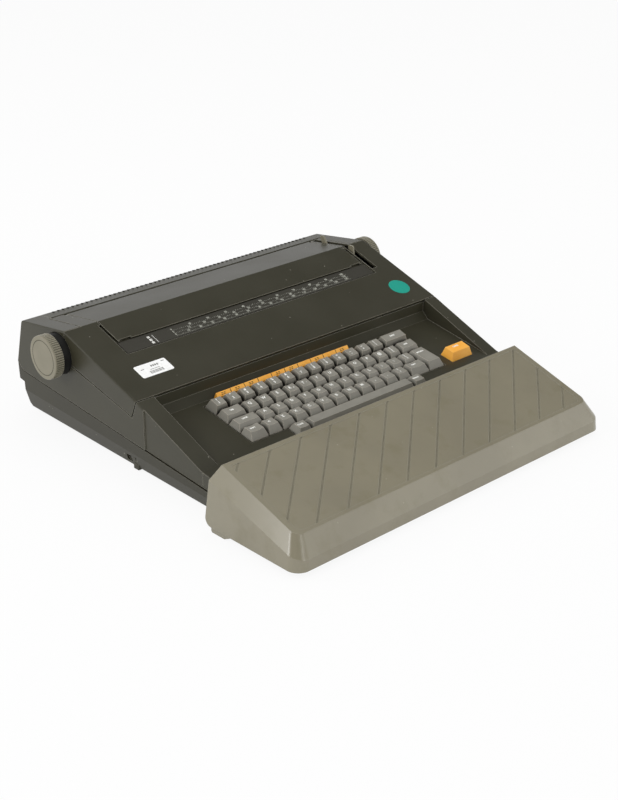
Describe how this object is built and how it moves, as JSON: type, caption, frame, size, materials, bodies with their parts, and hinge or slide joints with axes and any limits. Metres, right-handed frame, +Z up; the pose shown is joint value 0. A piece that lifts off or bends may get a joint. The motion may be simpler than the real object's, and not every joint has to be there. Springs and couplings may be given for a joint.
{
  "type": "electric typewriter",
  "caption": "Portable electronic daisy-wheel typewriter with turning platen, opening lid, pressable keys and its removed keyboard cover standing in front.",
  "frame": {"origin": "on the table, under the middle of the machine with the keyboard cover in front of it", "axes": "+X to the typist's right, +Y to the machine's rear, +Z up"},
  "size_m": [0.483, 0.4788, 0.1223],
  "materials": {
    "dark_casing": "dark olive grey moulded ABS, fine texture",
    "grey_cover": "warm grey moulded ABS, fine texture",
    "key_plastic": "mid grey keycap plastic",
    "orange_plastic": "orange keycap plastic",
    "light_plastic": "light grey knob and lever plastic",
    "black_plastic": "black moulded plastic",
    "clear_scale": "smooth dark printed scale",
    "rubber_black": "black rubber",
    "zinc_steel": "zinc plated pressed steel",
    "bright_steel": "ground bright steel",
    "motor_steel": "dark painted motor can",
    "board": "green solder resist",
    "core_steel": "varnished laminated core",
    "gear_plastic": "white acetal"
  },
  "bodies": {
    "root": {"base_pan": "dark_casing", "upper_case": "dark_casing", "top_cover": "dark_casing", "scale_strip": "clear_scale", "hinge_pins": "bright_steel", "rubber_feet": "rubber_black", "case_screws": "zinc_steel", "key_plate": "zinc_steel", "keyboard_board": "board", "label_strip": "orange_plastic", "shaft_collars": "black_plastic", "left_side_plate": "zinc_steel", "right_side_plate": "zinc_steel", "line_feed_motor": "motor_steel", "paper_pan": "zinc_steel", "carriage_rods": "bright_steel", "drive_belt": "rubber_black", "main_board": "board", "transformer": "core_steel", "power_inlet": "black_plastic", "carriage_motor": "motor_steel"},
    "lid": {"access_lid": "dark_casing"},
    "support": {"paper_support": "dark_casing"},
    "front_cover": {"keyboard_cover": "grey_cover"},
    "platen": {"platen_roller": "rubber_black", "platen_shaft": "bright_steel", "left_knob": "light_plastic", "right_knob": "light_plastic", "platen_gear": "gear_plastic"},
    "pinion": {"line_feed_pinion": "gear_plastic"},
    "cradle": {"feed_cradle": "zinc_steel"},
    "feed": {"feed_rollers": "rubber_black"},
    "bail": {"bail_frame": "zinc_steel", "bail_rollers": "rubber_black", "bail_lever": "light_plastic"},
    "release": {"release_lever": "light_plastic"},
    "carriage": {"carriage_frame": "black_plastic", "wheel_motor": "motor_steel", "hammer_solenoid": "motor_steel", "ribbon_cassette": "black_plastic"},
    "wheel": {"daisy_wheel": "gear_plastic"},
    "hammer": {"hammer_pin": "bright_steel"},
    "pulley_right": {"drive_pulley": "gear_plastic"},
    "pulley_left": {"idler_pulley": "gear_plastic"},
    "switch": {"power_switch": "black_plastic"},
    "number_row": {"number_row_keys": "key_plastic"},
    "upper_row": {"upper_row_keys": "key_plastic"},
    "home_row": {"home_row_keys": "key_plastic"},
    "lower_row": {"lower_row_keys": "key_plastic"},
    "backspace": {"backspace_key": "key_plastic"},
    "tab": {"tab_key": "key_plastic"},
    "margin": {"margin_key": "key_plastic"},
    "lock": {"lock_key": "key_plastic"},
    "return": {"return_key": "key_plastic"},
    "left_shift": {"left_shift_key": "key_plastic"},
    "right_shift": {"right_shift_key": "key_plastic"},
    "code": {"code_key": "key_plastic"},
    "space": {"space_bar": "key_plastic"},
    "repeat": {"repeat_key": "key_plastic"},
    "orange": {"orange_key": "orange_plastic"}
  },
  "joints": [
    {"name": "lid_hinge", "type": "hinge", "parent": "root", "child": "lid", "pos_m": [0.0015, 0.19839, 0.10876], "axis": [-1, 0, 0], "range_deg": [0, 75]},
    {"name": "support_hinge", "type": "hinge", "parent": "root", "child": "support", "pos_m": [0.0015, 0.20719, 0.10752], "axis": [1, 0, 0], "range_deg": [0, 60]},
    {"name": "front_cover_lift", "type": "slide", "parent": "root", "child": "front_cover", "axis": [0, 0, 1], "range_m": [0, 0.1]},
    {"name": "platen_turn", "type": "hinge", "parent": "root", "child": "platen", "pos_m": [0.0015, 0.15536, 0.09279], "axis": [1, 0, 0], "continuous": true},
    {"name": "pinion_turn", "type": "hinge", "parent": "root", "child": "pinion", "pos_m": [0.0015, 0.1368, 0.07423], "axis": [1, 0, 0], "continuous": true},
    {"name": "cradle_drop", "type": "hinge", "parent": "root", "child": "cradle", "pos_m": [0.0015, 0.17935, 0.06597], "axis": [1, 0, 0], "range_deg": [0, 5], "stiffness_Nm_per_rad": 1.5, "springref_deg": -11.46},
    {"name": "feed_turn", "type": "hinge", "parent": "cradle", "child": "feed", "pos_m": [0.0015, 0.16335, 0.07197], "axis": [1, 0, 0], "continuous": true},
    {"name": "bail_tilt", "type": "hinge", "parent": "root", "child": "bail", "pos_m": [0.0015, 0.11936, 0.06199], "axis": [1, 0, 0], "range_deg": [0, 22]},
    {"name": "release_pull", "type": "hinge", "parent": "root", "child": "release", "pos_m": [0.0015, 0.16936, 0.07879], "axis": [1, 0, 0], "range_deg": [0, 12.5]},
    {"name": "carriage_travel", "type": "slide", "parent": "root", "child": "carriage", "axis": [1, 0, 0], "range_m": [0, 0.216]},
    {"name": "wheel_spin", "type": "hinge", "parent": "carriage", "child": "wheel", "pos_m": [-0.1065, 0.13636, 0.059], "axis": [0, 1, 0], "continuous": true},
    {"name": "hammer_strike", "type": "slide", "parent": "carriage", "child": "hammer", "axis": [0, 1, 0], "range_m": [0, 0.0024], "stiffness_N_per_m": 60, "springref_m": -0.003},
    {"name": "drive_pulley_turn", "type": "hinge", "parent": "root", "child": "pulley_right", "pos_m": [0.1655, 0.08636, 0.0239], "axis": [0, 1, 0], "range_deg": [0, 1393]},
    {"name": "idler_pulley_turn", "type": "hinge", "parent": "root", "child": "pulley_left", "pos_m": [-0.1625, 0.08636, 0.0239], "axis": [0, 1, 0], "range_deg": [0, 1393]},
    {"name": "switch_rock", "type": "hinge", "parent": "root", "child": "switch", "pos_m": [0.1595, 0.22485, 0.0275], "axis": [-1, 0, 0], "range_deg": [0, 14]},
    {"name": "number_row_press", "type": "slide", "parent": "root", "child": "number_row", "axis": [0, 0.1788, -0.9839], "range_m": [0, 0.0035], "stiffness_N_per_m": 1430, "springref_m": -0.003},
    {"name": "upper_row_press", "type": "slide", "parent": "root", "child": "upper_row", "axis": [0, 0.1788, -0.9839], "range_m": [0, 0.0035], "stiffness_N_per_m": 1320, "springref_m": -0.003},
    {"name": "home_row_press", "type": "slide", "parent": "root", "child": "home_row", "axis": [0, 0.1788, -0.9839], "range_m": [0, 0.0035], "stiffness_N_per_m": 1320, "springref_m": -0.003},
    {"name": "lower_row_press", "type": "slide", "parent": "root", "child": "lower_row", "axis": [0, 0.1788, -0.9839], "range_m": [0, 0.0035], "stiffness_N_per_m": 1210, "springref_m": -0.003},
    {"name": "backspace_press", "type": "slide", "parent": "root", "child": "backspace", "axis": [0, 0.1788, -0.9839], "range_m": [0, 0.0035], "stiffness_N_per_m": 220, "springref_m": -0.003},
    {"name": "tab_press", "type": "slide", "parent": "root", "child": "tab", "axis": [0, 0.1788, -0.9839], "range_m": [0, 0.0035], "stiffness_N_per_m": 132, "springref_m": -0.003},
    {"name": "margin_press", "type": "slide", "parent": "root", "child": "margin", "axis": [0, 0.1788, -0.9839], "range_m": [0, 0.0035], "stiffness_N_per_m": 132, "springref_m": -0.003},
    {"name": "lock_press", "type": "slide", "parent": "root", "child": "lock", "axis": [0, 0.1788, -0.9839], "range_m": [0, 0.0035], "stiffness_N_per_m": 143, "springref_m": -0.003},
    {"name": "return_press", "type": "slide", "parent": "root", "child": "return", "axis": [0, 0.1788, -0.9839], "range_m": [0, 0.0035], "stiffness_N_per_m": 198, "springref_m": -0.003},
    {"name": "left_shift_press", "type": "slide", "parent": "root", "child": "left_shift", "axis": [0, 0.1788, -0.9839], "range_m": [0, 0.0035], "stiffness_N_per_m": 110, "springref_m": -0.003},
    {"name": "right_shift_press", "type": "slide", "parent": "root", "child": "right_shift", "axis": [0, 0.1788, -0.9839], "range_m": [0, 0.0035], "stiffness_N_per_m": 132, "springref_m": -0.003},
    {"name": "code_press", "type": "slide", "parent": "root", "child": "code", "axis": [0, 0.1788, -0.9839], "range_m": [0, 0.0035], "stiffness_N_per_m": 110, "springref_m": -0.003},
    {"name": "space_press", "type": "slide", "parent": "root", "child": "space", "axis": [0, 0.1788, -0.9839], "range_m": [0, 0.0035], "stiffness_N_per_m": 550, "springref_m": -0.003},
    {"name": "repeat_press", "type": "slide", "parent": "root", "child": "repeat", "axis": [0, 0.1788, -0.9839], "range_m": [0, 0.0035], "stiffness_N_per_m": 110, "springref_m": -0.003},
    {"name": "orange_press", "type": "slide", "parent": "root", "child": "orange", "axis": [0, 0.1788, -0.9839], "range_m": [0, 0.0035], "stiffness_N_per_m": 176, "springref_m": -0.003}
  ],
  "couplings": [
    {"joint": "pinion_turn", "follows": "platen_turn", "ratio": -4},
    {"joint": "feed_turn", "follows": "platen_turn", "ratio": -2.6667},
    {"joint": "release_pull", "follows": "cradle_drop", "ratio": 2.4},
    {"joint": "drive_pulley_turn", "follows": "carriage_travel", "rad_per_m": 112.36},
    {"joint": "idler_pulley_turn", "follows": "carriage_travel", "rad_per_m": 112.36}
  ]
}
